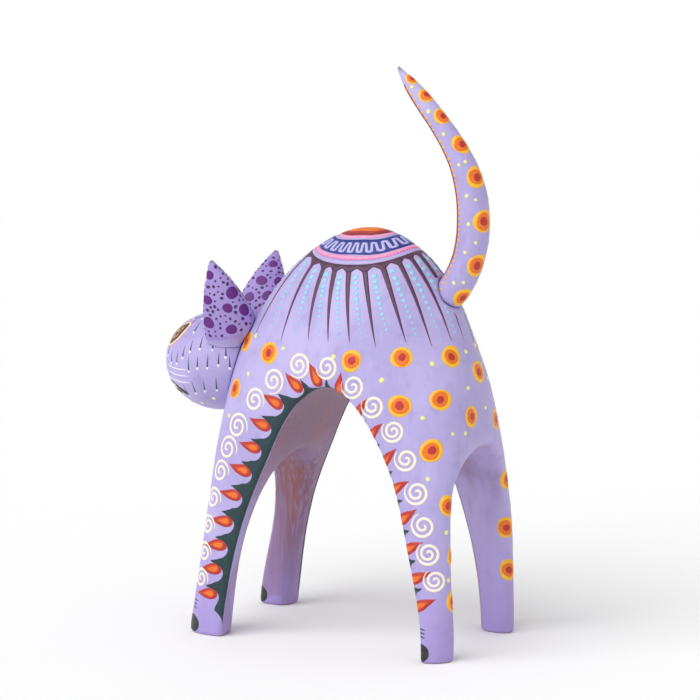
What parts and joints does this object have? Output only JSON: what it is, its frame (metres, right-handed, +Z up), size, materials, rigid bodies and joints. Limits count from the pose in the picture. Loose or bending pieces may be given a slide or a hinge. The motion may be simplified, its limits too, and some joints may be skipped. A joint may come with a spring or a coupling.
{
  "type": "carved wooden cat figure",
  "caption": "Carved and painted wooden cat with an arched back on straight legs, with pull-out ears and a tall curved tail, for display on a shelf or table.",
  "frame": {"origin": "on the floor, at the middle of the bounding box", "axes": "+Z up, the cat faces -Y, its left side is +X"},
  "size_m": [0.0915, 0.1837, 0.2885],
  "materials": {
    "painted_body": "satin acrylic paint on sanded wood, lavender with coloured motifs",
    "painted_head": "satin acrylic paint on sanded wood, lavender with dark dashes",
    "painted_ears": "satin acrylic paint on sanded wood, lavender with purple dots",
    "painted_tail": "satin acrylic paint on sanded wood, lavender with ringed dots",
    "bare_wood": "bare sanded softwood"
  },
  "bodies": {
    "cat": {"body": "painted_body", "head": "painted_head", "neck_dowel": "bare_wood"},
    "left_ear": {"left_ear": "painted_ears", "left_ear_peg": "bare_wood"},
    "right_ear": {"right_ear": "painted_ears", "right_ear_peg": "bare_wood"},
    "tail": {"tail": "painted_tail"}
  },
  "joints": [
    {"name": "left_ear_pull", "type": "slide", "parent": "cat", "child": "left_ear", "axis": [0.4751, -0.0176, 0.8798], "range_m": [0, 0.016]},
    {"name": "right_ear_pull", "type": "slide", "parent": "cat", "child": "right_ear", "axis": [-0.4751, -0.0176, 0.8798], "range_m": [0, 0.016]},
    {"name": "tail_pull", "type": "slide", "parent": "cat", "child": "tail", "axis": [0, 0.5728, 0.8197], "range_m": [0, 0.026]}
  ]
}
